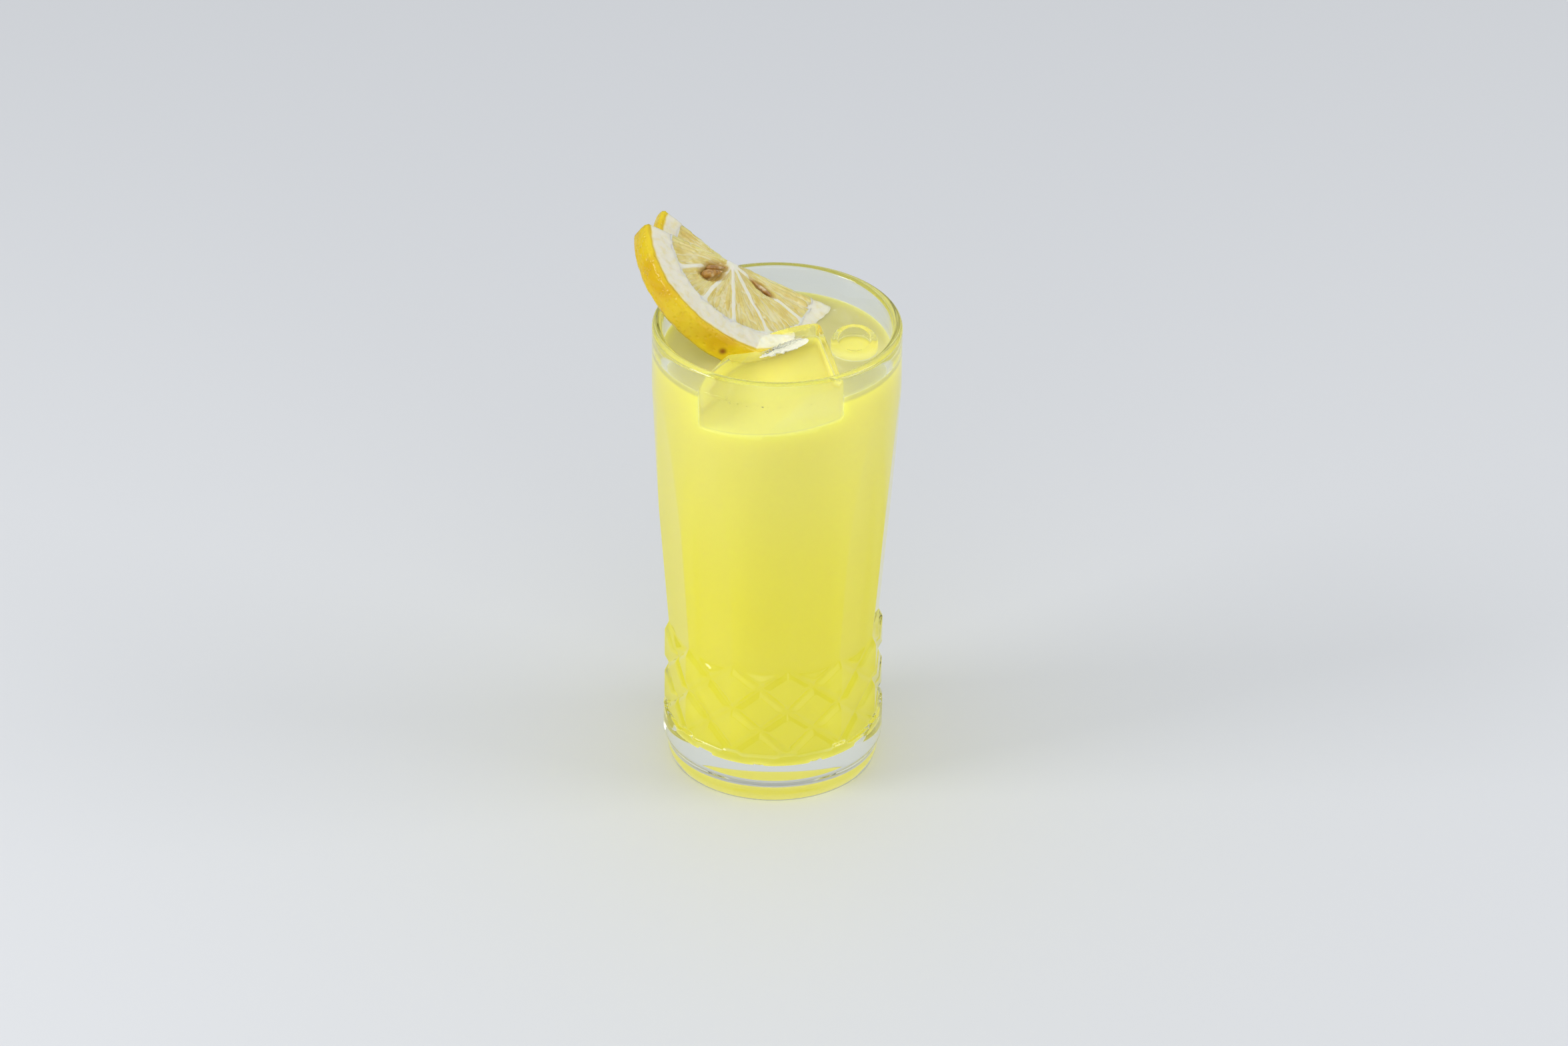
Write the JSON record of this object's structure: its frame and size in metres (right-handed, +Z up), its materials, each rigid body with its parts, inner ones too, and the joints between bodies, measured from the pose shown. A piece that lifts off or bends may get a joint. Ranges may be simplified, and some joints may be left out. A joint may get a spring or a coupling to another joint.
{
  "type": "glass of lemonade",
  "caption": "Tall cut glass with flat panels above a band of diamonds, filled with cloudy lemonade, with lemon half slices leaning on the rim and floating ice",
  "frame": {"origin": "middle of the glass's flat underside", "axes": "+Z up along the glass, -Y towards the side that the slices face, +X to the right of that side"},
  "size_m": [0.08, 0.0748, 0.1719],
  "materials": {
    "clear_glass": "clear polished pressed glass",
    "lemonade": "cloudy yellow drink",
    "lemon": "moist lemon rind, pith and pulp",
    "ice": "clear wet ice"
  },
  "bodies": {
    "root": {"glass": "clear_glass", "lemonade": "lemonade", "lemon_slice_front": "lemon", "lemon_slice_back": "lemon", "ice_moon": "ice", "ice_bullet": "ice"}
  },
  "joints": []
}
